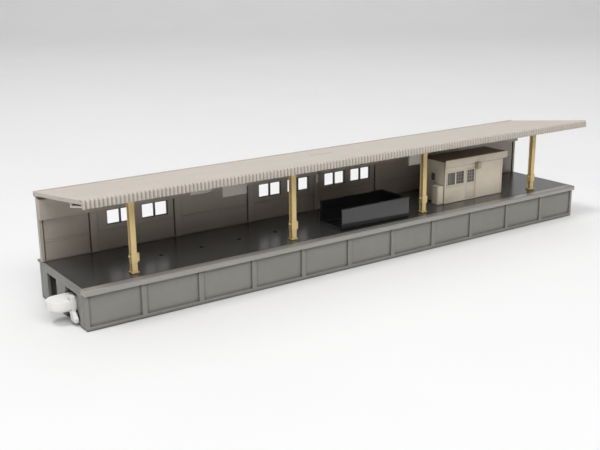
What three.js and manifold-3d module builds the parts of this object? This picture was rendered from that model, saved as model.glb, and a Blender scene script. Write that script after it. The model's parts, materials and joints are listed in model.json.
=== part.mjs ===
// N gauge station platform, side type: a hollow base with a ribbed front wall, a dark deck,
// a rear wall with windows, a lean-to roof on four posts, a stairwell and a station office.
// Millimetres. X runs along the platform, Y from the track side to the rear wall, Z up.
// Inside this file X = 0 is the middle of the platform and Y = 0 is the face of the front ribs.

import * as THREE from 'three';
import { mergeVertices } from 'three/addons/utils/BufferGeometryUtils.js';
import Module from 'manifold-3d';

const wasm = await Module();
wasm.setup();

// ---------------------------------------------------------------- driving dimensions

const LENGTH = 248; // coping and roof, end to end
const HALF = LENGTH / 2;
const PLATFORM_TOP = 14.8; // height of the walking surface
const GAP = 0.06; // clearance between pieces that fit together

const RIB_PITCH = 22.65; // front wall ribs
const RIB_COUNT = 10;
const RIB_WIDTH = 2.1;
const RIB_DEPTH = 0.8;
const POST_PITCH = 3 * RIB_PITCH;
const POST_COUNT = 4;
const BAY = 1.5 * RIB_PITCH; // rear wall bays
const BAY_LINES = [-3, -2, -1, 0, 1, 2, 3];

const BASE_HALF = HALF - 0.4; // the base walls stand in a little under the coping
const BASE_WALL = 1.2; // thickness of the base walls
const LIP_HEIGHT = 1.5; // bottom flange of the base walls
const COPING_BOTTOM = 12.8;
const COPING_FRONT = -0.9;
const COPING_REAR = 2.7;
const RIM_BOTTOM = 13.9; // end and rear rims round the deck
const RIM_WIDTH = 0.8;
const BASE_REAR = 42.3; // rear face of the base
const REAR_RIM_EDGE = 43.2;

const WALL_FRONT = 38.2; // rear wall, its inner face and its outer face
const WALL_REAR = 39.7;
const WALL_TOP = 39.2;
const HEADER_BOTTOM = 31; // thick header along the top of the rear wall
const HEADER_FRONT = 36.1;

const WINDOW_BOTTOM = 24.4;
const PANE_HEIGHT = 5.9;
const PANE_WIDTH = 5.3;
const PANE_PITCH = 5.95;
const WINDOW_OFFSET = 7.2; // window centre from the middle of its bay
const WINDOW_BAYS = [-2.5, -0.5, 0.5, 2.5]; // bays with windows, in bay widths from the middle
const FRAME_WIDTH = 0.5;

const ROOF_FRONT = -4.5; // roof sheet, front and rear edges
const ROOF_REAR = 39.9;
const ROOF_FRONT_TOP = 46.85; // height of the roof's top at its front edge
const ROOF_SLOPE = 0.135; // fall towards the rear wall
const ROOF_SHEET = 1.5;
const FASCIA_BOTTOM = 43.9;
const CORRUGATION_PITCH = 1.5;
const CORRUGATION_DEPTH = 0.5;

const POST_Y = 7.4; // centre line of the posts
const POST_SIZE = 2.1; // flange width and depth of the H section
const POST_WEB = 0.5;
const POST_FLANGE = 0.45;
const POST_PLATE = 2.9;

const STAIR_LEFT = -12; // stairwell parapet, outside faces
const STAIR_RIGHT = 23.6;
const STAIR_FRONT = 4.5;
const STAIR_REAR = 22.2;
const PARAPET_TOP = 23.7;
const PARAPET_WALL = 1;
const STEP_COUNT = 9;

const OFFICE_LEFT = 50; // station office, outside faces of its walls
const OFFICE_RIGHT = 86.1;
const OFFICE_FRONT = 10.9;
const OFFICE_REAR = 25;
const OFFICE_TOP = 33.6;
const OFFICE_WALL = 1;

const HOLE_RADIUS = 0.8; // accessory holes in the deck
const HOLE_PITCH = BAY / 2;
const HOLE_Y = 20;

// ---------------------------------------------------------------- shape helpers

/** Axis-aligned box between two corners. */
function box(x0, x1, y0, y1, z0, z1) {
  const shape = new THREE.BoxGeometry(x1 - x0, y1 - y0, z1 - z0);
  shape.translate((x0 + x1) / 2, (y0 + y1) / 2, (z0 + z1) / 2);
  return shape;
}

/** Closed outline from [a, b] pairs. */
function outline(points) {
  return new THREE.Shape(points.map(([a, b]) => new THREE.Vector2(a, b)));
}

/** Plain extrusion of a shape along +Z of its own axes. */
function extrude(shape, depth) {
  return new THREE.ExtrudeGeometry(shape, { depth, bevelEnabled: false, curveSegments: 6 });
}

/** Outline in Y and Z, extruded along X. */
function alongX(shape, x0, x1) {
  const axes = new THREE.Matrix4().makeBasis(
    new THREE.Vector3(0, 1, 0),
    new THREE.Vector3(0, 0, 1),
    new THREE.Vector3(1, 0, 0),
  );
  return extrude(shape, x1 - x0).applyMatrix4(axes).translate(x0, 0, 0);
}

/** Outline in X and Z, extruded along Y. */
function alongY(shape, y0, y1) {
  const axes = new THREE.Matrix4().makeBasis(
    new THREE.Vector3(1, 0, 0),
    new THREE.Vector3(0, 0, 1),
    new THREE.Vector3(0, -1, 0),
  );
  return extrude(shape, y1 - y0).applyMatrix4(axes).translate(0, y1, 0);
}

/** Outline in X and Y, extruded along Z. */
function alongZ(shape, z0, z1) {
  return extrude(shape, z1 - z0).translate(0, 0, z0);
}

/** Upright cylinder. */
function peg(x, y, radius, z0, z1, sides = 16) {
  const shape = new THREE.CylinderGeometry(radius, radius, z1 - z0, sides);
  shape.rotateX(Math.PI / 2);
  return shape.translate(x, y, (z0 + z1) / 2);
}

/** three.js geometry to a solid that can be cut and joined. */
function solid(geometry) {
  const bare = geometry.clone();
  bare.deleteAttribute('normal');
  bare.deleteAttribute('uv');
  const merged = mergeVertices(bare, 1e-4);
  return new wasm.Manifold(new wasm.Mesh({
    numProp: 3,
    vertProperties: new Float32Array(merged.attributes.position.array),
    triVerts: new Uint32Array(merged.index.array),
  }));
}

/** Solid back to three.js geometry. */
function geometryOf(body) {
  const mesh = body.getMesh();
  const geometry = new THREE.BufferGeometry();
  geometry.setAttribute('position', new THREE.BufferAttribute(mesh.vertProperties, 3));
  geometry.setIndex(new THREE.BufferAttribute(mesh.triVerts, 1));
  geometry.computeVertexNormals();
  return geometry;
}

/** First geometry joined with the others. */
function join(first, ...others) {
  return geometryOf(others.reduce((body, other) => body.add(solid(other)), solid(first)));
}

/** First geometry with the others cut out of it. */
function cut(first, ...tools) {
  return geometryOf(tools.reduce((body, tool) => body.subtract(solid(tool)), solid(first)));
}

/** Whole numbers 0 .. count - 1. */
function range(count) {
  return Array.from({ length: count }, (_, index) => index);
}

// ---------------------------------------------------------------- materials

const FINISHES = {
  base: { color: 0x8a8b85, roughness: 0.55 },
  deck: { color: 0x3b3b39, roughness: 0.35 },
  wall: { color: 0xa1978a, roughness: 0.5 },
  roof: { color: 0xcfc6ba, roughness: 0.55 },
  post: { color: 0xcfb477, roughness: 0.45 },
  parapet: { color: 0x47474a, roughness: 0.35 },
  office: { color: 0xc8bcaa, roughness: 0.5 },
  slate: { color: 0x2e2a26, roughness: 0.5 },
  pane: { color: 0x55524f, roughness: 0.3 },
  sign: { color: 0x9a958d, roughness: 0.5 },
  joiner: { color: 0xf0efea, roughness: 0.4 },
};

const platform = new THREE.Group();

/** Adds one named piece to the platform, in its own material. */
function piece(name, geometry, finish) {
  const material = new THREE.MeshStandardMaterial({ metalness: 0, ...FINISHES[finish] });
  const mesh = new THREE.Mesh(geometry, material);
  mesh.name = name;
  platform.add(mesh);
}

/** Height of the roof's top face at a given Y. */
function roofTop(y) {
  return ROOF_FRONT_TOP - ROOF_SLOPE * (y - ROOF_FRONT);
}

/** Height of the roof sheet's underside at a given Y. */
function roofUnder(y) {
  return roofTop(y) - ROOF_SHEET - GAP;
}

// ---------------------------------------------------------------- base

const ribPositions = range(RIB_COUNT).map((i) => (i - (RIB_COUNT - 1) / 2) * RIB_PITCH);
const CORNER_POST = 1.3;

/** Wall panel with a bottom flange, end posts and ribs; side is -1 on the track side, 1 at the rear. */
function ribbedWall(face, side, top) {
  const inner = face - side * (RIB_DEPTH + BASE_WALL);
  const panelFace = face - side * RIB_DEPTH;
  const span = (a, b) => [Math.min(a, b), Math.max(a, b)];
  const panel = box(-BASE_HALF, BASE_HALF, ...span(panelFace, inner), 0, top);
  const lip = box(-BASE_HALF, BASE_HALF, ...span(face, inner), 0, LIP_HEIGHT);
  const ribs = ribPositions.map((x) => (
    box(x - RIB_WIDTH / 2, x + RIB_WIDTH / 2, ...span(face, inner), 0, top)
  ));
  const corners = [-1, 1].map((end) => (
    box(...span(end * BASE_HALF, end * (BASE_HALF - CORNER_POST)), ...span(face, inner), 0, top)
  ));
  return join(panel, lip, ...ribs, ...corners);
}

piece('front_wall', ribbedWall(0, -1, COPING_BOTTOM - GAP), 'base');
piece('rear_base_wall', ribbedWall(BASE_REAR, 1, RIM_BOTTOM - GAP), 'base');

// Platform edge: chamfered front corner, and a shallow step down to the deck at its rear.
const EDGE_CHAMFER = 0.3;
const copingProfile = outline([
  [COPING_FRONT, COPING_BOTTOM],
  [COPING_REAR, COPING_BOTTOM],
  [COPING_REAR, PLATFORM_TOP],
  [COPING_FRONT + EDGE_CHAMFER, PLATFORM_TOP],
  [COPING_FRONT, PLATFORM_TOP - EDGE_CHAMFER],
]);
piece('front_coping', alongX(copingProfile, -HALF, HALF), 'base');

const RIM_FRONT = COPING_REAR + GAP;
const RIM_REAR = WALL_FRONT - 0.3;
for (const [name, end] of [['left_end_rim', -1], ['right_end_rim', 1]]) {
  const x0 = Math.min(end * HALF, end * (HALF - RIM_WIDTH));
  piece(name, box(x0, x0 + RIM_WIDTH, RIM_FRONT, RIM_REAR - GAP, RIM_BOTTOM, PLATFORM_TOP), 'base');
}
piece('rear_rim', box(-HALF, HALF, RIM_REAR, REAR_RIM_EDGE, RIM_BOTTOM, PLATFORM_TOP), 'base');

// End frames: a top beam on three legs, open underneath between the legs.
const END_BEAM_BOTTOM = 11.5;
const END_FRAME_THICKNESS = 1.2;
const END_RECESS = 0.4; // the inner part of the front leg stands back from the end
const BASE_WALL_DEPTH = RIB_DEPTH + BASE_WALL;
const END_LEGS = [
  { y0: BASE_WALL_DEPTH + GAP, y1: 5.9, recess: 0 },
  { y0: 5.9, y1: 8.7, recess: END_RECESS },
  { y0: 18, y1: 26.3, recess: 0 },
  { y0: 35.3, y1: BASE_REAR - BASE_WALL_DEPTH - GAP, recess: 0 },
];
const DECK_BOTTOM = PLATFORM_TOP - 1;

for (const [name, end] of [['left_end_frame', -1], ['right_end_frame', 1]]) {
  const spanX = (recess) => {
    const outer = end * (BASE_HALF - recess);
    const inner = end * (BASE_HALF - END_FRAME_THICKNESS);
    return [Math.min(outer, inner), Math.max(outer, inner)];
  };
  const beamRear = BASE_REAR - BASE_WALL_DEPTH - GAP;
  const beam = box(...spanX(0), COPING_REAR + GAP, beamRear, END_BEAM_BOTTOM, DECK_BOTTOM - GAP);
  const legs = END_LEGS.map(({ y0, y1, recess }) => (
    box(...spanX(recess), y0, y1, 0, COPING_BOTTOM - GAP)
  ));
  piece(name, join(beam, ...legs), 'base');
}

// ---------------------------------------------------------------- deck and its supports

const DECK_HALF = HALF - RIM_WIDTH - GAP;
const DECK_FRONT = COPING_REAR + GAP;
const DECK_REAR = RIM_REAR - GAP;
const WELL = {
  left: STAIR_LEFT + 2.5,
  right: STAIR_RIGHT - PARAPET_WALL - 0.6,
  front: STAIR_FRONT + PARAPET_WALL + 0.6,
  rear: STAIR_REAR - PARAPET_WALL - 0.6,
};
const holePositions = range(4).flatMap((i) => [-1, 1].map((side) => side * (2 + i) * HOLE_PITCH));
const deckHoles = holePositions.map((x) => (
  peg(x, HOLE_Y, HOLE_RADIUS, DECK_BOTTOM - 1, PLATFORM_TOP + 1)
));
piece('deck', cut(
  box(-DECK_HALF, DECK_HALF, DECK_FRONT, DECK_REAR, DECK_BOTTOM, PLATFORM_TOP),
  box(WELL.left, WELL.right, WELL.front, WELL.rear, DECK_BOTTOM - 1, PLATFORM_TOP + 1),
  ...deckHoles,
), 'deck');

const postPositions = range(POST_COUNT).map((i) => (i - (POST_COUNT - 1) / 2) * POST_PITCH);
const CROSS_RIB = 1;
const RIB_FRONT = RIB_DEPTH + BASE_WALL + GAP;
const RIB_REAR = BASE_REAR - RIB_DEPTH - BASE_WALL - GAP;
postPositions.forEach((x, index) => {
  const profile = outline([
    [RIB_FRONT, 1],
    [RIB_FRONT + 8, 4.5],
    [RIB_REAR - 8, 4.5],
    [RIB_REAR, 1],
    [RIB_REAR, DECK_BOTTOM - GAP],
    [COPING_REAR + GAP, DECK_BOTTOM - GAP],
    [COPING_REAR + GAP, COPING_BOTTOM - GAP],
    [RIB_FRONT, COPING_BOTTOM - GAP],
  ]);
  piece(`cross_rib_${index + 1}`, alongX(profile, x - CROSS_RIB / 2, x + CROSS_RIB / 2), 'base');
});

// ---------------------------------------------------------------- stairwell

const parapetOuter = new THREE.Shape();
const PARAPET_CORNER = 1.6;
parapetOuter.moveTo(STAIR_LEFT, STAIR_FRONT);
parapetOuter.lineTo(STAIR_RIGHT, STAIR_FRONT);
parapetOuter.lineTo(STAIR_RIGHT, STAIR_REAR - PARAPET_CORNER);
parapetOuter.absarc(STAIR_RIGHT - PARAPET_CORNER, STAIR_REAR - PARAPET_CORNER, PARAPET_CORNER,
  0, Math.PI / 2);
parapetOuter.lineTo(STAIR_LEFT + 2, STAIR_REAR);
parapetOuter.lineTo(STAIR_LEFT + 2, STAIR_REAR - PARAPET_WALL);
parapetOuter.lineTo(STAIR_RIGHT - PARAPET_WALL, STAIR_REAR - PARAPET_WALL);
parapetOuter.lineTo(STAIR_RIGHT - PARAPET_WALL, STAIR_FRONT + PARAPET_WALL);
parapetOuter.lineTo(STAIR_LEFT, STAIR_FRONT + PARAPET_WALL);
piece('stair_parapet', alongZ(parapetOuter, PLATFORM_TOP + GAP, PARAPET_TOP), 'parapet');

// Flight of steps down into the base, as a thin stepped plate.
const FLIGHT_BOTTOM = 0.6;
const STEP_RUN = (WELL.right - WELL.left - 2 * GAP) / STEP_COUNT;
const STEP_RISE = (DECK_BOTTOM - FLIGHT_BOTTOM - 1) / STEP_COUNT;
const FLIGHT_THICKNESS = 1.2;
const flightTop = range(STEP_COUNT).flatMap((i) => {
  const x = WELL.left + GAP + i * STEP_RUN;
  const z = DECK_BOTTOM - GAP - (i + 1) * STEP_RISE;
  return [[x, z], [x + STEP_RUN, z]];
});
const flightFoot = flightTop[flightTop.length - 1];
const flightHead = flightTop[0];
const flightProfile = outline([
  ...flightTop,
  [flightFoot[0], flightFoot[1] - FLIGHT_THICKNESS * 0.6],
  [flightFoot[0] - STEP_RUN, flightFoot[1] - FLIGHT_THICKNESS * 0.6],
  [flightHead[0], flightHead[1] - FLIGHT_THICKNESS * 1.6],
]);
const flightLedge = box(WELL.left - 2, WELL.left + GAP + 1, WELL.front + GAP, WELL.rear - GAP,
  DECK_BOTTOM - GAP - STEP_RISE - 0.6, DECK_BOTTOM - GAP);
const flight = alongY(flightProfile, WELL.front + GAP, WELL.rear - GAP);
piece('stair_flight', join(flight, flightLedge), 'parapet');

// ---------------------------------------------------------------- rear wall

const PILASTER_WIDTH = 2.8;
const PILASTER_DEPTH = 0.45;
const RAIL_HEIGHT = 0.6; // thin rail across each bay
const RAIL_Z = 22.1;
const RAIL_DEPTH = 0.3;
const SEAM = 0.1; // gap between the two halves of the wall
const SLOT_HALF = 0.6; // see-through slot at the seam
const GROOVE_WIDTH = 0.45; // shadow groove beside each pilaster
const GROOVE_DEPTH = 0.7;
const END_SHIFT = 1.3; // the outermost pilasters stand this much further out
const SLOT_BOTTOM = 26.4;
const WALL_BOTTOM = PLATFORM_TOP + GAP;
const WINDOW_WIDTH = PANE_PITCH + PANE_WIDTH;

const windowCentres = WINDOW_BAYS.flatMap((bay) => [-1, 1].map((side) => bay * BAY + side * WINDOW_OFFSET));

/** One half of the rear wall; side is -1 on the left, 1 on the right. */
function wallHalf(side) {
  const span = (a, b) => [Math.min(side * a, side * b), Math.max(side * a, side * b)];
  const panel = box(...span(SEAM / 2, HALF), WALL_FRONT, WALL_REAR, WALL_BOTTOM, WALL_TOP);
  const header = box(...span(SLOT_HALF, HALF), HEADER_FRONT, WALL_FRONT + 0.5, HEADER_BOTTOM, WALL_TOP - 0.6);
  const rail = box(...span(SEAM / 2, HALF), WALL_FRONT - RAIL_DEPTH, WALL_FRONT + 0.5,
    RAIL_Z, RAIL_Z + RAIL_HEIGHT);
  const lines = BAY_LINES.filter((line) => line * side > 0)
    .map((line) => line * BAY + (Math.abs(line) === 3 ? side * END_SHIFT : 0));
  const pilasters = lines.map((x) => (
    box(x - PILASTER_WIDTH / 2, x + PILASTER_WIDTH / 2,
      WALL_FRONT - PILASTER_DEPTH, WALL_FRONT + 0.5, WALL_BOTTOM, HEADER_BOTTOM + 0.5)
  ));
  const grooves = [...lines.map((x) => x - PILASTER_WIDTH / 2 - GROOVE_WIDTH),
    side * (HALF - 1.2) - (side > 0 ? GROOVE_WIDTH : 0)].map((x) => (
    box(x, x + GROOVE_WIDTH, HEADER_FRONT - 1, WALL_FRONT + GROOVE_DEPTH, WALL_BOTTOM + 0.3, HEADER_BOTTOM)
  ));
  const endPilaster = box(...span(HALF - 1.2, HALF), WALL_FRONT - PILASTER_DEPTH, WALL_FRONT + 0.5,
    WALL_BOTTOM, HEADER_BOTTOM + 0.5);
  const seamPilaster = box(...span(SEAM / 2, PILASTER_WIDTH / 2), WALL_FRONT - PILASTER_DEPTH,
    WALL_FRONT + 0.5, WALL_BOTTOM, HEADER_BOTTOM + 0.5);
  const slot = box(...span(-1, SLOT_HALF), HEADER_FRONT - 1, WALL_REAR + 1, SLOT_BOTTOM, HEADER_BOTTOM);
  const openings = windowCentres.filter((x) => x * side > 0).map((x) => (
    box(x - WINDOW_WIDTH / 2, x + WINDOW_WIDTH / 2, WALL_FRONT - 1, WALL_REAR + 1,
      WINDOW_BOTTOM, WINDOW_BOTTOM + PANE_HEIGHT)
  ));
  const whole = join(panel, header, rail, ...pilasters, endPilaster, seamPilaster);
  return cut(whole, slot, ...grooves, ...openings);
}

piece('rear_wall_left', wallHalf(-1), 'wall');
piece('rear_wall_right', wallHalf(1), 'wall');

// Window frames: a thin border and a middle bar, with two open panes.
windowCentres.forEach((x, index) => {
  const half = WINDOW_WIDTH / 2 - GAP;
  const z0 = WINDOW_BOTTOM + GAP;
  const z1 = WINDOW_BOTTOM + PANE_HEIGHT - GAP;
  const plate = box(x - half, x + half, WALL_FRONT + 0.3, WALL_REAR - 0.3, z0, z1);
  const border = FRAME_WIDTH / 2;
  const bar = (PANE_PITCH - PANE_WIDTH) / 2;
  const panes = [[x - half + border, x - bar], [x + bar, x + half - border]].map(([x0, x1]) => (
    box(x0, x1, WALL_FRONT - 1, WALL_REAR + 1, z0 + border, z1 - border)
  ));
  piece(`window_frame_${index + 1}`, cut(plate, ...panes), 'wall');
});

// ---------------------------------------------------------------- posts and arms

/** H section standing on end, its flanges facing the track and the rear wall. */
function hSection(x, y, size, z0, z1) {
  const h = size / 2;
  const w = POST_WEB / 2;
  const f = h - POST_FLANGE;
  const section = outline([
    [x - h, y - h], [x + h, y - h], [x + h, y - f], [x + w, y - f], [x + w, y + f], [x + h, y + f],
    [x + h, y + h], [x - h, y + h], [x - h, y + f], [x - w, y + f], [x - w, y - f], [x - h, y - f],
  ]);
  return alongZ(section, z0, z1);
}

const PLATE_THICKNESS = 0.5;
const POST_BOTTOM = PLATFORM_TOP + GAP;
const COLLAR_BOTTOM = 18.6;
const COLLAR_TOP = 22;
const COLLAR_SIZE = POST_SIZE + 0.7;
const COLLAR_BORE = POST_SIZE + 2 * GAP;
const ARM_HALF_WIDTH = 0.6;
const ARM_DEPTH = 1.5;
const armTop = (y) => roofUnder(y) - GAP;

postPositions.forEach((x, index) => {
  const number = index + 1;
  const postTop = armTop(POST_Y + POST_SIZE / 2);
  const plateHalf = POST_PLATE / 2;
  const plate = box(x - plateHalf, x + plateHalf, POST_Y - plateHalf, POST_Y + plateHalf,
    POST_BOTTOM, POST_BOTTOM + PLATE_THICKNESS);
  const shaft = hSection(x, POST_Y, POST_SIZE, POST_BOTTOM, postTop);
  piece(`post_${number}`, join(shaft, plate), 'post');

  const c = COLLAR_SIZE / 2;
  const sleeve = box(x - c, x + c, POST_Y - c, POST_Y + c, COLLAR_BOTTOM, COLLAR_TOP);
  const knob = box(x - c - 0.5, x - c + 0.2, POST_Y - 0.5, POST_Y + 0.5, COLLAR_TOP - 1.4, COLLAR_TOP - 0.3);
  const tab = box(x + c - 0.2, x + c + 0.7, POST_Y - 0.5, POST_Y + 0.5,
    COLLAR_BOTTOM + 0.4, COLLAR_TOP - 0.2);
  const b = COLLAR_BORE / 2;
  const bore = box(x - b, x + b, POST_Y - b, POST_Y + b, COLLAR_BOTTOM - 1, COLLAR_TOP + 1);
  piece(`post_collar_${number}`, cut(join(sleeve, knob, tab), bore), 'post');

  const armFront = POST_Y + POST_SIZE / 2 + GAP;
  const armRear = HEADER_FRONT - GAP;
  const armProfile = outline([
    [armFront, armTop(armFront) - ARM_DEPTH - 1],
    [armFront + 4, armTop(armFront + 4) - ARM_DEPTH],
    [armRear, armTop(armRear) - ARM_DEPTH],
    [armRear, armTop(armRear)],
    [armFront, armTop(armFront)],
  ]);
  piece(`roof_arm_${number}`, alongX(armProfile, x - ARM_HALF_WIDTH, x + ARM_HALF_WIDTH), 'post');
});

// ---------------------------------------------------------------- roof

const sheetProfile = outline([
  [ROOF_FRONT, roofTop(ROOF_FRONT) - ROOF_SHEET],
  [ROOF_REAR, roofTop(ROOF_REAR) - ROOF_SHEET],
  [ROOF_REAR, roofTop(ROOF_REAR)],
  [ROOF_FRONT, roofTop(ROOF_FRONT)],
]);
const SLOT = { left: -14.5, right: -3, y0: 22.3, y1: 23.4, depth: 0.5 };
const roofSlot = alongX(outline([
  [SLOT.y0, roofTop(SLOT.y0) - SLOT.depth],
  [SLOT.y1, roofTop(SLOT.y1) - SLOT.depth],
  [SLOT.y1, roofTop(SLOT.y1) + 1],
  [SLOT.y0, roofTop(SLOT.y0) + 1],
]), SLOT.left, SLOT.right);
piece('roof_sheet', cut(alongX(sheetProfile, -HALF, HALF), roofSlot), 'roof');

// Front fascia: a corrugated strip, its ridges standing upright.
const FASCIA_REAR = ROOF_FRONT - GAP;
const FASCIA_TROUGH = FASCIA_REAR - 0.4;
const FASCIA_RIDGE = FASCIA_TROUGH - CORRUGATION_DEPTH;
const ridgeCount = Math.round(LENGTH / CORRUGATION_PITCH);
const ridgePitch = LENGTH / ridgeCount;
const ridges = range(ridgeCount).flatMap((i) => {
  const x = -HALF + i * ridgePitch;
  return [
    [x + 0.1 * ridgePitch, FASCIA_RIDGE],
    [x + 0.5 * ridgePitch, FASCIA_RIDGE],
    [x + 0.6 * ridgePitch, FASCIA_TROUGH],
    [x + ridgePitch, FASCIA_TROUGH],
  ];
});
const fasciaProfile = outline([
  [-HALF, FASCIA_TROUGH],
  ...ridges,
  [HALF, FASCIA_REAR],
  [-HALF, FASCIA_REAR],
]);
piece('roof_fascia', alongZ(fasciaProfile, FASCIA_BOTTOM, roofTop(FASCIA_REAR) + 0.1), 'roof');

// Rear gutter: a half-round channel hung on the roof's rear edge.
const GUTTER_RADIUS = 0.85;
const GUTTER_Y = ROOF_REAR + GAP + GUTTER_RADIUS;
const GUTTER_TOP = roofTop(ROOF_REAR) + 0.05;
const gutterProfile = new THREE.Shape();
gutterProfile.moveTo(GUTTER_Y - GUTTER_RADIUS, GUTTER_TOP);
gutterProfile.lineTo(GUTTER_Y - GUTTER_RADIUS, GUTTER_TOP - 1.2);
gutterProfile.absarc(GUTTER_Y, GUTTER_TOP - 1.2, GUTTER_RADIUS, Math.PI, 2 * Math.PI);
gutterProfile.lineTo(GUTTER_Y + GUTTER_RADIUS, GUTTER_TOP);
gutterProfile.lineTo(GUTTER_Y + GUTTER_RADIUS - 0.4, GUTTER_TOP);
gutterProfile.lineTo(GUTTER_Y + GUTTER_RADIUS - 0.4, GUTTER_TOP - 1.2);
gutterProfile.absarc(GUTTER_Y, GUTTER_TOP - 1.2, GUTTER_RADIUS - 0.4, 0, Math.PI, true);
gutterProfile.lineTo(GUTTER_Y - GUTTER_RADIUS + 0.4, GUTTER_TOP);
piece('rear_gutter', alongX(gutterProfile, -HALF, HALF), 'roof');

// Tray under the front of the roof, open at both ends; its floor is steeper than the roof.
const TRAY_FRONT = -4.4;
const TRAY_REAR = 5.9;
const TRAY_FRONT_BOTTOM = 44.35;
const TRAY_REAR_BOTTOM = 42.3;
const TRAY_FLOOR = 0.7;
const TRAY_FRONT_WALL = 0.7;
const TRAY_REAR_WALL = 1.3;
const trayFloor = (y) => (
  THREE.MathUtils.mapLinear(y, TRAY_FRONT, TRAY_REAR, TRAY_FRONT_BOTTOM, TRAY_REAR_BOTTOM)
);
const channelFront = TRAY_FRONT + TRAY_FRONT_WALL;
const channelRear = TRAY_REAR - TRAY_REAR_WALL;
const trayProfile = outline([
  [TRAY_FRONT, TRAY_FRONT_BOTTOM],
  [TRAY_REAR, TRAY_REAR_BOTTOM],
  [TRAY_REAR, roofUnder(TRAY_REAR)],
  [channelRear, roofUnder(channelRear)],
  [channelRear, trayFloor(channelRear) + TRAY_FLOOR],
  [channelFront, trayFloor(channelFront) + TRAY_FLOOR],
  [channelFront, roofUnder(channelFront)],
  [TRAY_FRONT, roofUnder(TRAY_FRONT)],
]);
piece('eave_tray', alongX(trayProfile, -HALF, HALF), 'roof');

// Boards hung under the roof on two straps each, in the line of the posts.
const BOARDS = [
  { name: 'hanging_board_1', x0: -78.4, x1: -70.1, bottom: 39.3, height: 2.6 },
  { name: 'hanging_board_2', x0: -65.1, x1: -54.9, bottom: 36.6, height: 4.8 },
  { name: 'hanging_board_3', x0: 25.4, x1: 32.2, bottom: 36.4, height: 4.4 },
];
const BOARD_THICKNESS = 0.8;
const STRAP_WIDTH = 0.8;
BOARDS.forEach(({ name, x0, x1, bottom, height }) => {
  const y0 = POST_Y - BOARD_THICKNESS / 2;
  const y1 = POST_Y + BOARD_THICKNESS / 2;
  const board = box(x0, x1, y0, y1, bottom, bottom + height);
  const straps = [x0 + 1.2, x1 - 1.2].map((x) => (
    box(x - STRAP_WIDTH / 2, x + STRAP_WIDTH / 2, y0 + 0.1, y1 - 0.1, bottom + height - 0.3, roofUnder(y1))
  ));
  piece(name, join(board, ...straps), 'sign');
});

// ---------------------------------------------------------------- station office

const OFFICE_FLOOR = PLATFORM_TOP + GAP;
const WINDOW_SILL = 22.8;
const WINDOW_HEAD = 28.9;
const OFFICE_WINDOW = [OFFICE_LEFT + 1.3, OFFICE_LEFT + 11.9];
const DOOR = [OFFICE_LEFT + 12.9, OFFICE_LEFT + 19.2];
const DOOR_HEAD = 29.4;
const SIDE_WINDOW = [OFFICE_FRONT + 6, OFFICE_FRONT + 9.2];
const SIDE_WINDOW_Z = [24.2, 28.1];

const officeInnerFront = OFFICE_FRONT + OFFICE_WALL + GAP;
const officeInnerRear = OFFICE_REAR - OFFICE_WALL - GAP;
piece('office_front_wall', cut(
  box(OFFICE_LEFT, OFFICE_RIGHT, OFFICE_FRONT, OFFICE_FRONT + OFFICE_WALL, OFFICE_FLOOR, OFFICE_TOP),
  box(...OFFICE_WINDOW, OFFICE_FRONT - 1, OFFICE_FRONT + OFFICE_WALL + 1, WINDOW_SILL, WINDOW_HEAD),
  box(...DOOR, OFFICE_FRONT - 1, OFFICE_FRONT + OFFICE_WALL + 1, OFFICE_FLOOR + 0.6, DOOR_HEAD),
), 'office');
piece('office_left_wall', cut(
  box(OFFICE_LEFT, OFFICE_LEFT + OFFICE_WALL, officeInnerFront, officeInnerRear, OFFICE_FLOOR, OFFICE_TOP),
  box(OFFICE_LEFT - 1, OFFICE_LEFT + OFFICE_WALL + 1, ...SIDE_WINDOW, ...SIDE_WINDOW_Z),
), 'office');
piece('office_right_wall', box(OFFICE_RIGHT - OFFICE_WALL, OFFICE_RIGHT, officeInnerFront, officeInnerRear,
  OFFICE_FLOOR, OFFICE_TOP), 'office');
piece('office_rear_wall', box(OFFICE_LEFT, OFFICE_RIGHT, OFFICE_REAR - OFFICE_WALL, OFFICE_REAR,
  OFFICE_FLOOR, OFFICE_TOP), 'office');

const ROOF_OVERHANG = 2.6;
piece('office_roof', box(OFFICE_LEFT, OFFICE_RIGHT + ROOF_OVERHANG, OFFICE_FRONT + 0.3, OFFICE_REAR,
  OFFICE_TOP + GAP, OFFICE_TOP + 0.6), 'slate');
piece('office_fascia', box(OFFICE_LEFT - 0.1, OFFICE_RIGHT + ROOF_OVERHANG, OFFICE_FRONT - 0.5,
  OFFICE_FRONT - GAP, 31.4, 34.5), 'office');

/** Glazed leaf: a plate with raised frame bars standing off its pane. */
function glazedFrame(x0, x1, z0, z1, bars, face) {
  const plate = box(x0, x1, face + 0.45, face + OFFICE_WALL - 0.1, z0, z1);
  const rim = cut(
    box(x0, x1, face + 0.1, face + 0.55, z0, z1),
    box(x0 + 0.45, x1 - 0.45, face - 1, face + 1, z0 + 0.45, z1 - 0.45),
  );
  const muntins = bars.map(([a, b]) => box(a, b, face + 0.1, face + 0.55, z0 + 0.2, z1 - 0.2));
  return join(plate, rim, ...muntins);
}

const windowMiddle = (OFFICE_WINDOW[0] + OFFICE_WINDOW[1]) / 2;
piece('office_window', glazedFrame(OFFICE_WINDOW[0] + GAP, OFFICE_WINDOW[1] - GAP, WINDOW_SILL + GAP,
  WINDOW_HEAD - GAP, [[windowMiddle - 0.25, windowMiddle + 0.25]], OFFICE_FRONT), 'pane');

// Door leaf with a window in its upper half.
const DOOR_PANE = { left: DOOR[0] + 0.7, right: DOOR[1] - 0.9, sill: WINDOW_SILL, head: 28.7 };
piece('office_door', cut(
  box(DOOR[0] + GAP, DOOR[1] - GAP, OFFICE_FRONT + 0.15, OFFICE_FRONT + OFFICE_WALL - 0.1,
    OFFICE_FLOOR + 0.6 + GAP, DOOR_HEAD - GAP),
  box(DOOR_PANE.left, DOOR_PANE.right, OFFICE_FRONT - 1, OFFICE_FRONT + 0.55, DOOR_PANE.sill, DOOR_PANE.head),
), 'office');

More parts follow.
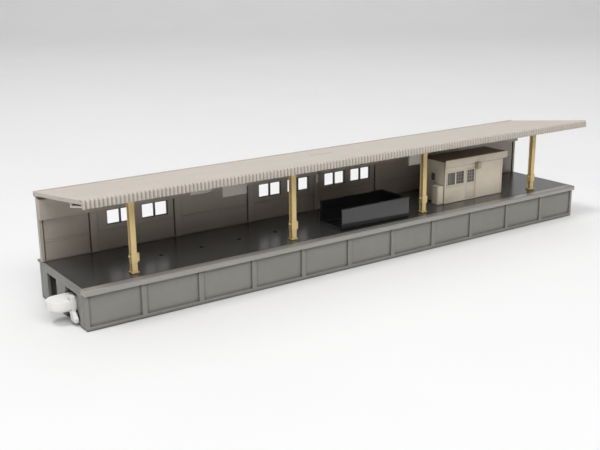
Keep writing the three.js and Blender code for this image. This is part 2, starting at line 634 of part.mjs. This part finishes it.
piece('office_side_window', box(OFFICE_LEFT + 0.35, OFFICE_LEFT + 0.9,
  SIDE_WINDOW[0] + GAP, SIDE_WINDOW[1] - GAP, SIDE_WINDOW_Z[0] + GAP, SIDE_WINDOW_Z[1] - GAP), 'pane');

piece('office_side_sign', box(DOOR[1] - 0.6, DOOR[1] + 1.3, OFFICE_FRONT - 2.1, OFFICE_FRONT - GAP,
  28.8, 31.4), 'sign');
piece('equipment_cabinet', box(OFFICE_LEFT - 3.4, OFFICE_LEFT - GAP, OFFICE_FRONT + 0.6, OFFICE_FRONT + 4.6,
  OFFICE_FLOOR, 23.1), 'office');

// ---------------------------------------------------------------- platform joiner

// Clip in the left end of the base: a tongue through the end frame's front opening, and a hook
// plate outside the frame that reaches down to a foot just above the ground.
const TONGUE_FRONT = END_LEGS[1].y1 + 0.1;
const TONGUE_REAR = END_LEGS[2].y0 - 0.1;
const TONGUE_RADIUS = (TONGUE_REAR - TONGUE_FRONT) / 2;
const TONGUE_Y = (TONGUE_FRONT + TONGUE_REAR) / 2;
const TONGUE_TOP = 8.9;
const TONGUE_BOTTOM = 5.2;
const TONGUE_NOSE = -HALF - 3.6; // centre of the rounded nose
const TONGUE_INNER_END = -HALF + 9;
const HOOK_OUTER = -HALF - 1.1;
const HOOK_INNER = -BASE_HALF - 0.15;

/** Tongue outline seen from above, drawn in by a margin on its free edges. */
function tonguePlan(margin) {
  const radius = TONGUE_RADIUS - margin;
  const plan = new THREE.Shape();
  plan.moveTo(TONGUE_INNER_END, TONGUE_Y - radius);
  plan.lineTo(TONGUE_INNER_END, TONGUE_Y + radius);
  plan.lineTo(TONGUE_NOSE, TONGUE_Y + radius);
  plan.absarc(TONGUE_NOSE, TONGUE_Y, radius, Math.PI / 2, 1.5 * Math.PI);
  return plan;
}

const hookProfile = outline([
  [TONGUE_FRONT, 10.6],
  [TONGUE_FRONT + 2.4, 10.4],
  [TONGUE_FRONT + 3.6, 9],
  [TONGUE_FRONT + 3.6, 5.4],
  [10.6, 3.2],
  [10.4, 1.5],
  [6.5, 1.5],
  [6.4, 2.8],
  [TONGUE_FRONT, 5],
]);
piece('joiner_clip', join(
  alongZ(tonguePlan(0), TONGUE_BOTTOM + 0.7, TONGUE_TOP),
  alongZ(tonguePlan(0.6), TONGUE_BOTTOM, TONGUE_BOTTOM + 0.8),
  alongX(hookProfile, HOOK_OUTER, HOOK_INNER),
), 'joiner');

// ---------------------------------------------------------------- frame

// The part's origin is the middle of its bounding box's bottom face.
const bounds = new THREE.Box3().setFromObject(platform);
const centre = bounds.getCenter(new THREE.Vector3());
platform.position.set(-centre.x, -centre.y, -bounds.min.z);

export default platform;
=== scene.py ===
import json
import math

import bmesh
import bpy
from mathutils import Matrix, Vector


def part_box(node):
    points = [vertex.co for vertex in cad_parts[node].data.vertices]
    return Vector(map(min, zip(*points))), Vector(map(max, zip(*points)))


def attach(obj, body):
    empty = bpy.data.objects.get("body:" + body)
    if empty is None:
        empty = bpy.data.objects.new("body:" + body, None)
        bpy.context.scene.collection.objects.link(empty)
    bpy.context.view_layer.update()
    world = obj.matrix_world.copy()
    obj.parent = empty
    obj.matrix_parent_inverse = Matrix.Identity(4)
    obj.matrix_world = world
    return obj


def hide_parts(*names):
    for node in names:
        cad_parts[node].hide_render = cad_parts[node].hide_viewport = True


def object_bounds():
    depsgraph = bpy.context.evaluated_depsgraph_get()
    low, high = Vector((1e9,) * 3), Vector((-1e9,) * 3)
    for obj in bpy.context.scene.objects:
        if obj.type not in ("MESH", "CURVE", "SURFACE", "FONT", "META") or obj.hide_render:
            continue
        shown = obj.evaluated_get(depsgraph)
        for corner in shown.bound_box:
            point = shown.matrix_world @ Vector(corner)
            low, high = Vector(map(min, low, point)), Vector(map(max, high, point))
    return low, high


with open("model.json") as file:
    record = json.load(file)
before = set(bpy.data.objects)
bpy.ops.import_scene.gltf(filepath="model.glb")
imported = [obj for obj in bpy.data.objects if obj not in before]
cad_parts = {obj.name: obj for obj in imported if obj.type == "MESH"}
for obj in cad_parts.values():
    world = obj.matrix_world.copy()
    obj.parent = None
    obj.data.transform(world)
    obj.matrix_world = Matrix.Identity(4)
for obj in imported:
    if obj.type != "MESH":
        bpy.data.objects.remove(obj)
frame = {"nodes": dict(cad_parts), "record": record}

# Looks of a 1:150 station platform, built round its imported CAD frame. All sizes are in metres.
MM = 0.001
CAD_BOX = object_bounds()
NODES = frame["nodes"]
BODIES = frame["record"]["behaviour"]["bodies"]
BODY_OF = {node: body for body, nodes in BODIES.items() for node in nodes}
SLOT_OF = {entry["node"]: entry["material_slot"] for entry in frame["record"]["subparts"]}
ROOF_FALL = 0.135  # drop of the roof towards the rear wall, per unit of Y


# ------------------------------------------------------------------ materials


class Graph:
    """A material's node tree, with short calls to add and link nodes."""

    def __init__(self, name):
        self.material = bpy.data.materials.new(name)
        self.material.use_nodes = True
        self.tree = self.material.node_tree
        self.tree.nodes.clear()

    def add(self, kind, inputs, **settings):
        node = self.tree.nodes.new(kind)
        for key, value in settings.items():
            setattr(node, key, value)
        for key, value in inputs.items():
            if isinstance(value, bpy.types.NodeSocket):
                self.tree.links.new(value, node.inputs[key])
            else:
                node.inputs[key].default_value = value
        return node

    def noise(self, vector, scale, detail=2.0, roughness=0.5):
        values = {"Vector": vector, "Scale": scale, "Detail": detail, "Roughness": roughness}
        return self.add("ShaderNodeTexNoise", values).outputs["Fac"]

    def remap(self, value, from_min, from_max, to_min, to_max):
        values = {"Value": value, "From Min": from_min, "From Max": from_max,
                  "To Min": to_min, "To Max": to_max}
        return self.add("ShaderNodeMapRange", values).outputs["Result"]

    def math(self, operation, first, second):
        return self.add("ShaderNodeMath", {0: first, 1: second}, operation=operation).outputs[0]

    def mix(self, factor, first, second):
        values = {0: factor, 6: first, 7: second}
        return self.add("ShaderNodeMix", values, data_type="RGBA").outputs[2]


def shade(color, factor):
    """Colour made lighter or darker, as RGBA."""
    return tuple(min(1.0, channel * factor) for channel in color) + (1.0,)


def plastic(name, color, roughness, mottle=0.05, edge=0.3, edge_highlight=1.35, grain=0.25, wave=0.0,
            streaks=0.0, specular=0.5, crevice_shade=0.6, reach=0.8, uneven=1.0):
    """Moulded plastic: mottled colour, flow streaks, painted crevice shade, painted edge highlights and
    fine grain.
    """
    g = Graph(name)
    position = g.add("ShaderNodeTexCoord", {}).outputs["Object"]
    broad = g.noise(position, 70, 3)
    medium = g.noise(position, 420, 3)
    fine = g.noise(position, 3800, 2)
    along = g.add("ShaderNodeMapping", {"Vector": position, "Scale": (14, 420, 420)}).outputs[0]
    flow = g.noise(along, 1, 2)

    tint = g.remap(broad, 0.3, 0.7, 0, 1)
    body = g.mix(tint, shade(color, 1 - mottle), shade(color, 1 + mottle))
    speckle = g.remap(medium, 0.42, 0.72, 0, 1)
    body = g.mix(g.math("MULTIPLY", speckle, 0.35), body, shade(color, 1 - 1.8 * mottle))
    body = g.mix(g.math("MULTIPLY", g.remap(flow, 0.35, 0.7, 0, 1), streaks), body, shade(color, 0.86))

    # Painted shade: the colour darkens towards near-black in crevices, creases and recesses, as far as the
    # AO node finds close surfaces.
    open_sky = g.add("ShaderNodeAmbientOcclusion", {"Distance": reach * MM}, samples=6).outputs["AO"]
    body = g.mix(g.remap(open_sky, 0.4, 0.95, crevice_shade, 0), body, shade(color, 0.12))

    # Painted highlight: sharp edges, found where the bevelled normal turns from the true one, are drawn
    # paler, with strength varying by the medium noise.
    rounded = g.add("ShaderNodeBevel", {"Radius": 0.22 * MM}, samples=4).outputs["Normal"]
    geometry = g.add("ShaderNodeNewGeometry", {})
    normals = {0: rounded, 1: geometry.outputs["Normal"]}
    turn = g.add("ShaderNodeVectorMath", normals, operation="DOT_PRODUCT").outputs["Value"]
    edge_mask = g.remap(turn, 0.985, 0.86, 0, 1)
    painted_edge_highlight = g.math("MULTIPLY", edge_mask, g.remap(medium, 0.3, 0.65, edge * 0.45, edge))
    body = g.mix(painted_edge_highlight, body, shade(color, edge_highlight))

    gloss = g.remap(fine, 0.3, 0.7, roughness - 0.05 * uneven, roughness + 0.06 * uneven)
    gloss = g.math("ADD", gloss, g.remap(medium, 0.35, 0.7, -0.03 * uneven, 0.04 * uneven))
    height = g.math("ADD", g.math("MULTIPLY", fine, 0.25), g.math("MULTIPLY", medium, wave))
    bump = g.add("ShaderNodeBump", {"Strength": grain, "Distance": 0.02 * MM, "Height": height})
    values = {"Base Color": body, "Roughness": gloss, "Normal": bump.outputs["Normal"],
              "IOR": 1.5, "Specular IOR Level": specular}
    bsdf = g.add("ShaderNodeBsdfPrincipled", values)
    g.add("ShaderNodeOutputMaterial", {"Surface": bsdf.outputs["BSDF"]})
    return g.material


SLOTS = {
    "base_grey": plastic("base_grey", (0.25, 0.245, 0.222), 0.42, streaks=0.12, edge=0.7, edge_highlight=1.7,
                         crevice_shade=0.95, reach=1.3),
    "deck_grey": plastic("deck_grey", (0.056, 0.056, 0.057), 0.22, mottle=0.02, grain=0.06, edge_highlight=3,
                         specular=1.0, crevice_shade=0.95, reach=1.2, uneven=0.3),
    "parapet_grey": plastic("parapet_grey", (0.014, 0.014, 0.015), 0.14, mottle=0.02, grain=0.12,
                            edge_highlight=5.0, edge=0.5, specular=0.9),
    "wall_beige": plastic("wall_beige", (0.46, 0.41, 0.35), 0.4, streaks=0.15),
    "roof_beige": plastic("roof_beige", (0.58, 0.52, 0.46), 0.5, mottle=0.03, streaks=0.18, crevice_shade=0.85),
    "post_ochre": plastic("post_ochre", (0.74, 0.56, 0.26), 0.35, edge=0.5, edge_highlight=1.3),
    "office_beige": plastic("office_beige", (0.74, 0.66, 0.54), 0.45, edge=0.45, edge_highlight=1.3),
    "office_roof_black": plastic("office_roof_black", (0.17, 0.125, 0.085), 0.55, streaks=0.3),
    "office_pane": plastic("office_pane", (0.14, 0.13, 0.12), 0.16, wave=1.0),
    "board_grey": plastic("board_grey", (0.4, 0.37, 0.33), 0.45),
    "joiner_white": plastic("joiner_white", (0.88, 0.87, 0.85), 0.35, mottle=0.02, edge_highlight=1.1),
}
# Paler than base_grey, the same plastic: the paler colour is painted light, for the extra light the
# coping's top and front catch.
COPING_LIT_GREY = plastic("coping_lit_grey", (0.31, 0.3, 0.272), 0.17, mottle=0.03, streaks=0.08, edge=0.5,
                      edge_highlight=1.6, specular=1.0, uneven=0.4)
HOLE_SHADE = plastic("hole_shade", (0.008, 0.008, 0.008), 0.8, edge=0, specular=0.05)
# Window frames drawn in a dark brown-grey, darker than the wall: painted shade for the shaded faces inside
# the window openings.
FRAME_SHADE = plastic("window_frame_shade", (0.1, 0.085, 0.072), 0.4)
BAR_GREY = plastic("window_bar_grey", (0.42, 0.38, 0.33), 0.4)
SIGN_BEIGE = plastic("sign_beige", (0.5, 0.42, 0.29), 0.45)


# ------------------------------------------------------------------ mesh tools


def add_piece(name, bm, body, slot, material=None, replaced=()):
    """Turns a bmesh into a named, smooth object riding on a body, in its slot's material or its own."""
    mesh = bpy.data.meshes.new(name)
    bmesh.ops.recalc_face_normals(bm, faces=bm.faces)
    for face in bm.faces:
        face.smooth = True
    bm.to_mesh(mesh)
    bm.free()
    mesh.materials.append(material or SLOTS[slot])
    piece = bpy.data.objects.new(name, mesh)
    bpy.context.scene.collection.objects.link(piece)
    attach(piece, body)
    if replaced:
        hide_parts(*replaced)
    return piece


def soften(piece, width, segments=2):
    """Rounds every sharp edge, as a mould does."""
    bevel = piece.modifiers.new("rounded_edges", "BEVEL")
    bevel.width = width
    bevel.segments = segments
    bevel.limit_method = "ANGLE"
    bevel.angle_limit = math.radians(35)
    bevel.harden_normals = True
    return piece


def cad_mesh(node):
    """The CAD solid's own shape as one clean bmesh with flat faces joined up."""
    bm = bmesh.new()
    bm.from_mesh(NODES[node].data)
    bmesh.ops.remove_doubles(bm, verts=bm.verts, dist=0.004 * MM)
    bmesh.ops.dissolve_limit(bm, angle_limit=math.radians(0.8), verts=bm.verts, edges=bm.edges)
    return bm


def add_box(bm, low, high):
    """Adds a box between two corners."""
    low, high = Vector(low), Vector(high)
    size = high - low
    matrix = Matrix.Translation((low + high) / 2) @ Matrix.Diagonal((size.x, size.y, size.z, 1))
    bmesh.ops.create_cube(bm, size=1, matrix=matrix)


def loft(bm, rings):
    """Skins rings of equal point counts, one after the other, and closes both ends."""
    for first, second in zip(rings, rings[1:]):
        count = len(first)
        for i in range(count):
            bm.faces.new((first[i], first[(i + 1) % count], second[(i + 1) % count], second[i]))
    bm.faces.new(rings[0][::-1])
    bm.faces.new(rings[-1])


def moulded(node, width, segments=2, extra=None, material=None):
    """The node's shape with rounded edges, and any raised details that extra adds to its mesh."""
    bm = cad_mesh(node)
    if extra:
        extra(bm)
    piece = add_piece(f"{node}_moulded", bm, BODY_OF[node], SLOT_OF[node], material, replaced=(node,))
    return soften(piece, width, segments)


def flat_faced(piece):
    """Shades a sheet with openings flat, so that its broad faces stay even round them."""
    for face in piece.data.polygons:
        face.use_smooth = False
    return piece


# ------------------------------------------------------------------ base and deck

moulded("front_wall", 0.22 * MM, 3)
moulded("rear_base_wall", 0.22 * MM, 3)
moulded("front_coping", 0.16 * MM, 3, material=COPING_LIT_GREY)
for rim in ("left_end_rim", "right_end_rim", "rear_rim"):
    moulded(rim, 0.14 * MM, 3)
for end_frame in ("left_end_frame", "right_end_frame"):
    moulded(end_frame, 0.14 * MM)
for number in range(1, 5):
    moulded(f"cross_rib_{number}", 0.12 * MM)


def deck():
    """Flat deck; the walls of its holes and of the stair opening are in deep shade."""
    piece = flat_faced(moulded("deck", 0.06 * MM, 1))
    piece.data.materials.append(HOLE_SHADE)
    low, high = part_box("deck")
    margin = 1 * MM  # further in than the deck's own outer edge
    for face in piece.data.polygons:
        inside = (low.x + margin < face.center.x < high.x - margin
                  and low.y + margin < face.center.y < high.y - margin)
        upright = abs(face.normal.z) < 0.5
        if inside and upright:
            face.material_index = 1


deck()
moulded("stair_flight", 0.08 * MM)
moulded("stair_parapet", 0.14 * MM, 3)

# ------------------------------------------------------------------ rear wall

flat_faced(moulded("rear_wall_left", 0.12 * MM))
flat_faced(moulded("rear_wall_right", 0.12 * MM))
for number in range(1, 9):
    moulded(f"window_frame_{number}", 0.06 * MM, material=FRAME_SHADE)

# ------------------------------------------------------------------ posts


COLLAR_HALF = 1.16 * MM  # half the sleeve's width
COLLAR_BORE_HALF = 0.93 * COLLAR_HALF
TAB_HALF = 0.55 * MM
KNOB_RADIUS = 0.45 * MM
STEM_RADIUS = 0.3 * MM


def collar(number):
    """Sleeve with a round knob on one side and a rounded tab on the other."""
    node = f"post_collar_{number}"
    low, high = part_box(node)
    post_low, post_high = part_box(f"post_{number}")
    centre = (post_low + post_high) / 2
    outer, inner = COLLAR_HALF, COLLAR_BORE_HALF
    bm = bmesh.new()
    for x0, y0, x1, y1 in ((-outer, -outer, outer, -inner), (-outer, inner, outer, outer),
                           (-outer, -inner, -inner, inner), (inner, -inner, outer, inner)):
        add_box(bm, (centre.x + x0, centre.y + y0, low.z), (centre.x + x1, centre.y + y1, high.z))
    add_box(bm, (centre.x + 0.9 * outer, centre.y - TAB_HALF, low.z + 0.3 * MM),
            (high.x, centre.y + TAB_HALF, high.z - 0.15 * MM))
    knob = Matrix.Translation((low.x + KNOB_RADIUS, centre.y, high.z - 2 * KNOB_RADIUS))
    bmesh.ops.create_uvsphere(bm, u_segments=16, v_segments=10, radius=KNOB_RADIUS, matrix=knob)
    stem = knob @ Matrix.Translation((0.4 * MM, 0, 0)) @ Matrix.Rotation(math.radians(90), 4, "Y")
    bmesh.ops.create_cone(bm, cap_ends=True, segments=14, radius1=STEM_RADIUS, radius2=STEM_RADIUS,
                          depth=0.7 * MM, matrix=stem)
    piece = add_piece(f"{node}_moulded", bm, BODY_OF[node], SLOT_OF[node], replaced=(node,))
    soften(piece, 0.1 * MM)


for number in range(1, 5):
    moulded(f"post_{number}", 0.1 * MM, 3)
    collar(number)
    moulded(f"roof_arm_{number}", 0.1 * MM)

# ------------------------------------------------------------------ roof


RIDGE_COUNT = 165
RIDGE_STEPS = 8  # points across each ridge and groove
RIDGE_DEPTH = 0.78 * MM
TROUGH_WALL = 0.12 * MM  # what is left of the strip behind each groove


def corrugated_fascia():
    """Front edge of the roof: upright ridges that turn over on to the roof's top."""
    low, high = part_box("roof_fascia")
    sheet_low, sheet_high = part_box("roof_sheet")
    back = high.y
    trough = back - TROUGH_WALL

    def top(y):
        return sheet_high.z - ROOF_FALL * (y - sheet_low.y)

    corner = top(trough)
    # each stop: Y, Z, direction of the ridge there, and how much of the ridge shows
    stops = [
        (back, low.z, (0, 0), 0),
        (trough, low.z, (-1, 0), 0.7),
        (trough, low.z + 0.14 * MM, (-1, 0), 0.95),
        (trough, low.z + 0.4 * MM, (-1, 0), 1),
        (trough, corner - 0.75 * MM, (-1, 0), 1),
        (trough + 0.04 * MM, corner - 0.42 * MM, (-0.96, 0.1), 0.95),
        (trough + 0.16 * MM, corner - 0.2 * MM, (-0.8, 0.2), 0.85),
        (trough + 0.4 * MM, corner - 0.06 * MM, (-0.4, 0.2), 0.7),
        (trough + 0.8 * MM, top(trough + 0.8 * MM) + 0.01 * MM, (0, 0.26), 0.7),
        (trough + 1.9 * MM, top(trough + 1.9 * MM) + 0.01 * MM, (0, 0.3), 0.7),
        (trough + 2.5 * MM, top(trough + 2.5 * MM) + 0.01 * MM, (0, 0.3), 0.5),
        (trough + 2.8 * MM, top(trough + 2.8 * MM) - 0.03 * MM, (0, 0), 0),
        (back + 0.3 * MM, corner - 0.5 * MM, (0, 0), 0),
        (back, corner - 0.9 * MM, (0, 0), 0),
    ]
    bm = bmesh.new()
    rings = []
    count = RIDGE_COUNT * RIDGE_STEPS
    for i in range(count + 1):
        x = low.x + (high.x - low.x) * i / count
        lobe = math.cos(2 * math.pi * (i / RIDGE_STEPS - 0.3))
        ridge = min(1.0, max(0.0, (lobe + 0.35) / 0.7)) * RIDGE_DEPTH
        rings.append([bm.verts.new((x, y + ny * ridge * share, z + nz * ridge * share))
                      for y, z, (ny, nz), share in stops])
    loft(bm, rings)
    add_piece("roof_fascia_corrugated", bm, "roof", "roof_beige", replaced=("roof_fascia",))


corrugated_fascia()
flat_faced(moulded("roof_sheet", 0.16 * MM, 3))
moulded("rear_gutter", 0.1 * MM, 2)
moulded("eave_tray", 0.1 * MM, 2)
for number in range(1, 4):
    moulded(f"hanging_board_{number}", 0.12 * MM, 2)

# ------------------------------------------------------------------ station office

OFFICE_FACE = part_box("office_front_wall")[0].y  # outside of the front wall


def corner_strips(bm):
    """Raised strips up the two front corners, and a plinth line at the foot."""
    low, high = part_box("office_front_wall")
    strip = 0.9 * MM
    root = OFFICE_FACE + 0.3 * MM
    for x in (low.x, high.x - strip):
        add_box(bm, (x, OFFICE_FACE - 0.16 * MM, low.z), (x + strip, root, high.z - 2.3 * MM))
    add_box(bm, (low.x + 0.8 * MM, OFFICE_FACE - 0.12 * MM, low.z),
            (high.x - 0.8 * MM, root, low.z + 0.5 * MM))


def frame_round(bm, x0, x1, z0, z1, y0, y1, width):
    """Four bars round an opening."""
    add_box(bm, (x0, y0, z0), (x1, y1, z0 + width))
    add_box(bm, (x0, y0, z1 - width), (x1, y1, z1))
    add_box(bm, (x0, y0, z0 + width), (x0 + width, y1, z1 - width))
    add_box(bm, (x1 - width, y0, z0 + width), (x1, y1, z1 - width))


def office_window():
    """Two sashes: dark panes, pale frames, upright bars on the left and a lattice on the right."""
    low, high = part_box("office_window")
    face = OFFICE_FACE
    middle = (low.x + high.x) / 2
    panes = bmesh.new()
    add_box(panes, (low.x, face + 0.5 * MM, low.z), (middle, face + 0.8 * MM, high.z))
    add_box(panes, (middle, face + 0.6 * MM, low.z), (high.x, face + 0.9 * MM, high.z))
    pane_piece = add_piece("office_window_panes", panes, "office", "office_pane",
                           replaced=("office_window",))
    soften(pane_piece, 0.05 * MM)

    trim = bmesh.new()
    margin = 0.3 * MM
    frame_round(trim, low.x - margin, high.x + margin, low.z - margin, high.z + margin,
                face - 0.16 * MM, face + 0.5 * MM, 0.55 * MM)
    mullion_half = 0.32 * MM
    add_box(trim, (middle - mullion_half, face - 0.08 * MM, low.z + 0.2 * MM),
            (middle + mullion_half, face + 0.6 * MM, high.z - 0.2 * MM))
    sill_reach = 0.5 * MM
    add_box(trim, (low.x - sill_reach, face - 0.4 * MM, low.z - 0.55 * MM),
            (high.x + sill_reach, face + 0.2 * MM, low.z - 0.2 * MM))
    soften(add_piece("office_window_frame", trim, "office", "office_beige"), 0.07 * MM)

    bars = bmesh.new()
    bar_half = 0.09 * MM
    bar_count = 5
    left_span = middle - low.x - 0.6 * MM
    for index in range(1, bar_count + 1):
        x = low.x + 0.2 * MM + left_span * index / (bar_count + 1)
        add_box(bars, (x - bar_half, face + 0.32 * MM, low.z), (x + bar_half, face + 0.5 * MM, high.z))
    lattice(bars, middle + 0.4 * MM, high.x - 0.25 * MM, low.z, high.z, face + 0.42 * MM)
    soften(add_piece("office_window_bars", bars, "office", "board_grey", BAR_GREY), 0.03 * MM)


LATTICE_COLUMNS = 3
LATTICE_ROWS = 4


def lattice(bm, x0, x1, z0, z1, y):
    """Thin crossing bars over a pane."""
    half = 0.07 * MM
    for index in range(1, LATTICE_COLUMNS):
        x = x0 + (x1 - x0) * index / LATTICE_COLUMNS
        add_box(bm, (x - half, y, z0), (x + half, y + 0.16 * MM, z1))
    for index in range(1, LATTICE_ROWS):
        z = z0 + (z1 - z0) * index / LATTICE_ROWS
        add_box(bm, (x0, y + 0.02 * MM, z - half), (x1, y + 0.14 * MM, z + half))


def office_door():
    """Door leaf with a framed, latticed pane above and a plain panel below."""
    low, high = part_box("office_door")
    face = OFFICE_FACE
    left, right = low.x + 0.75 * MM, high.x - 0.95 * MM
    sill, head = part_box("office_window")[0].z, high.z - 0.75 * MM

    def raised_frames(bm):
        margin = 0.35 * MM
        frame_round(bm, left - margin, right + margin, sill - margin, head + margin,
                    face - 0.02 * MM, face + 0.3 * MM, 0.4 * MM)
        frame_round(bm, low.x + 0.7 * MM, high.x - 0.8 * MM, low.z + 0.7 * MM, low.z + 6.4 * MM,
                    face + 0.07 * MM, face + 0.3 * MM, 0.3 * MM)

    moulded("office_door", 0.06 * MM, extra=raised_frames)
    glass = bmesh.new()
    add_box(glass, (left, face + 0.35 * MM, sill), (right, face + 0.52 * MM, head))
    soften(add_piece("office_door_pane", glass, "office", "office_pane"), 0.04 * MM)
    bars = bmesh.new()
    lattice(bars, left, right, sill, head, face + 0.2 * MM)
    soften(add_piece("office_door_bars", bars, "office", "board_grey", BAR_GREY), 0.03 * MM)

    surround = bmesh.new()
    reach, lap = 0.3 * MM, 0.08 * MM
    front, root = face - 0.1 * MM, face + 0.4 * MM
    add_box(surround, (low.x - reach, front, low.z), (low.x + lap, root, high.z))
    add_box(surround, (high.x - lap, front, low.z), (high.x + reach, root, high.z))
    add_box(surround, (low.x - reach, front, high.z - lap), (high.x + reach, root, high.z + reach))
    soften(add_piece("office_door_surround", surround, "office", "office_beige"), 0.07 * MM)


moulded("office_front_wall", 0.1 * MM, extra=corner_strips)
for wall in ("office_left_wall", "office_right_wall", "office_rear_wall"):
    moulded(wall, 0.1 * MM)
moulded("office_fascia", 0.12 * MM, 3)
moulded("office_roof", 0.1 * MM)
office_window()
office_door()
moulded("office_side_sign", 0.12 * MM, 3, material=SIGN_BEIGE)


def side_window():
    """Dark pane in the side wall with a pale frame round it."""
    low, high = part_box("office_side_window")
    pane = bmesh.new()
    add_box(pane, low, high)
    pane_piece = add_piece("office_side_pane", pane, "office", "office_pane",
                           replaced=("office_side_window",))
    soften(pane_piece, 0.04 * MM)

    trim = bmesh.new()
    wall_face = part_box("office_left_wall")[0].x
    x0, x1 = wall_face - 0.14 * MM, wall_face + 0.4 * MM
    margin, width = 0.3 * MM, 0.45 * MM
    y0, y1, z0, z1 = low.y - margin, high.y + margin, low.z - margin, high.z + margin
    add_box(trim, (x0, y0, z0), (x1, y1, z0 + width))
    add_box(trim, (x0, y0, z1 - width), (x1, y1, z1))
    add_box(trim, (x0, y0, z0 + width), (x1, y0 + width, z1 - width))
    add_box(trim, (x0, y1 - width, z0 + width), (x1, y1, z1 - width))
    soften(add_piece("office_side_frame", trim, "office", "office_beige"), 0.06 * MM)


side_window()


def cabinet_details(bm):
    """Raised door panel on the cabinet's front."""
    low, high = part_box("equipment_cabinet")
    add_box(bm, (low.x + 0.3 * MM, low.y - 0.12 * MM, low.z + 0.5 * MM),
            (high.x - 0.3 * MM, low.y + 0.2 * MM, high.z - 0.8 * MM))


moulded("equipment_cabinet", 0.14 * MM, 3, extra=cabinet_details)

# ------------------------------------------------------------------ clip

moulded("joiner_clip", 0.35 * MM, 4)

# ------------------------------------------------------------------ floor, light and camera


HEADING = math.radians(34.95)  # the camera's, to the right of +Y
PITCH = math.radians(16.03)
ROLL = math.radians(-0.51)
FLOOR_HALF_WIDTH = 3.6
FLOOR_FRONT = -1.6
FLOOR_REAR = 1.1
FLOOR_DROP = 0.00002  # how far the floor lies under the platform's foot
SWEEP_RADIUS = 0.7
SWEEP_STEPS = 12
BACKDROP_TOP = 2.4


def sweep():
    """Pale floor that turns up into a backdrop well behind the platform."""
    profile = [(FLOOR_FRONT, 0), (FLOOR_REAR, 0)]
    for step in range(1, SWEEP_STEPS + 1):
        angle = math.radians(90 * step / SWEEP_STEPS)
        profile.append((FLOOR_REAR + SWEEP_RADIUS * math.sin(angle), SWEEP_RADIUS * (1 - math.cos(angle))))
    profile.append((FLOOR_REAR + SWEEP_RADIUS, BACKDROP_TOP))
    bm = bmesh.new()
    rows = [[bm.verts.new((x, y, z - FLOOR_DROP)) for x in (-FLOOR_HALF_WIDTH, FLOOR_HALF_WIDTH)]
            for y, z in profile]
    for first, second in zip(rows, rows[1:]):
        bm.faces.new((first[0], first[1], second[1], second[0])).smooth = True
    mesh = bpy.data.meshes.new("studio_floor")
    bm.to_mesh(mesh)
    bm.free()

    g = Graph("paper_floor")
    position = g.add("ShaderNodeTexCoord", {}).outputs["Object"]
    clouds = g.remap(g.noise(position, 9, 3), 0.3, 0.7, 0, 1)
    tone = g.mix(clouds, (0.83, 0.83, 0.83, 1), (0.85, 0.85, 0.85, 1))
    values = {"Base Color": tone, "Roughness": 0.7, "Specular IOR Level": 0.2}
    bsdf = g.add("ShaderNodeBsdfPrincipled", values)
    g.add("ShaderNodeOutputMaterial", {"Surface": bsdf.outputs["BSDF"]})
    mesh.materials.append(g.material)
    floor = bpy.data.objects.new("studio_floor", mesh)
    bpy.context.scene.collection.objects.link(floor)
    floor.rotation_euler = (0, 0, -HEADING)


sweep()


def area_light(name, position, target, width, height, power):
    """White rectangular lamp that faces its target."""
    light = bpy.data.lights.new(name, "AREA")
    light.shape = "RECTANGLE"
    light.size = width
    light.size_y = height
    light.energy = power
    lamp = bpy.data.objects.new(name, light)
    lamp.location = position
    aim = Vector(target) - Vector(position)
    lamp.rotation_euler = aim.to_track_quat("-Z", "Y").to_euler()
    bpy.context.scene.collection.objects.link(lamp)


middle = (CAD_BOX[0] + CAD_BOX[1]) / 2
area_light("soft_top", (0, 0.2, 1.7), (0, 0.2, 0), 2.6, 2.8, 19.5)
area_light("soft_key", (-0.35, -1.25, 1.24), middle, 1.6, 0.75, 18)
area_light("high_left", (-0.53, -0.1, 1.5), middle, 0.3, 0.3, 7)


def studio_air():
    """Surroundings that are darker on the camera's side of the room."""
    world = bpy.data.worlds.new("studio_air")
    bpy.context.scene.world = world
    world.use_nodes = True
    tree = world.node_tree
    background = tree.nodes["Background"]
    background.inputs["Color"].default_value = (1, 1, 1, 1)
    direction = tree.nodes.new("ShaderNodeTexCoord").outputs["Generated"]
    along = tree.nodes.new("ShaderNodeVectorMath")
    along.operation = "DOT_PRODUCT"
    along.inputs[1].default_value = (0.55, 0.79, 0.27)
    spread = tree.nodes.new("ShaderNodeMapRange")
    spread.inputs["From Min"].default_value = -0.9
    spread.inputs["From Max"].default_value = 0.5
    spread.inputs["To Min"].default_value = 0.06
    spread.inputs["To Max"].default_value = 0.14
    tree.links.new(direction, along.inputs[0])
    tree.links.new(along.outputs["Value"], spread.inputs["Value"])
    tree.links.new(spread.outputs["Result"], background.inputs["Strength"])


studio_air()
bpy.context.scene.view_settings.view_transform = "Standard"


def add_camera():
    """Camera to the front left of the platform, looking down on it."""
    forward = Vector((math.sin(HEADING) * math.cos(PITCH), math.cos(HEADING) * math.cos(PITCH),
                      -math.sin(PITCH)))
    level_right = Vector((math.cos(HEADING), -math.sin(HEADING), 0))
    level_up = level_right.cross(forward)
    right = math.cos(ROLL) * level_right + math.sin(ROLL) * level_up
    up = -math.sin(ROLL) * level_right + math.cos(ROLL) * level_up
    matrix = Matrix((right, up, -forward)).transposed().to_4x4()
    matrix.translation = Vector((-0.227975, -0.29971, 0.12103))

    camera_data = bpy.data.cameras.new("camera")
    camera_data.sensor_width = 36
    camera_data.lens = 55.96
    camera_data.clip_start = 0.01
    camera_data.clip_end = 20
    camera = bpy.data.objects.new("camera", camera_data)
    camera.matrix_world = matrix
    bpy.context.scene.collection.objects.link(camera)
    bpy.context.scene.camera = camera


add_camera()
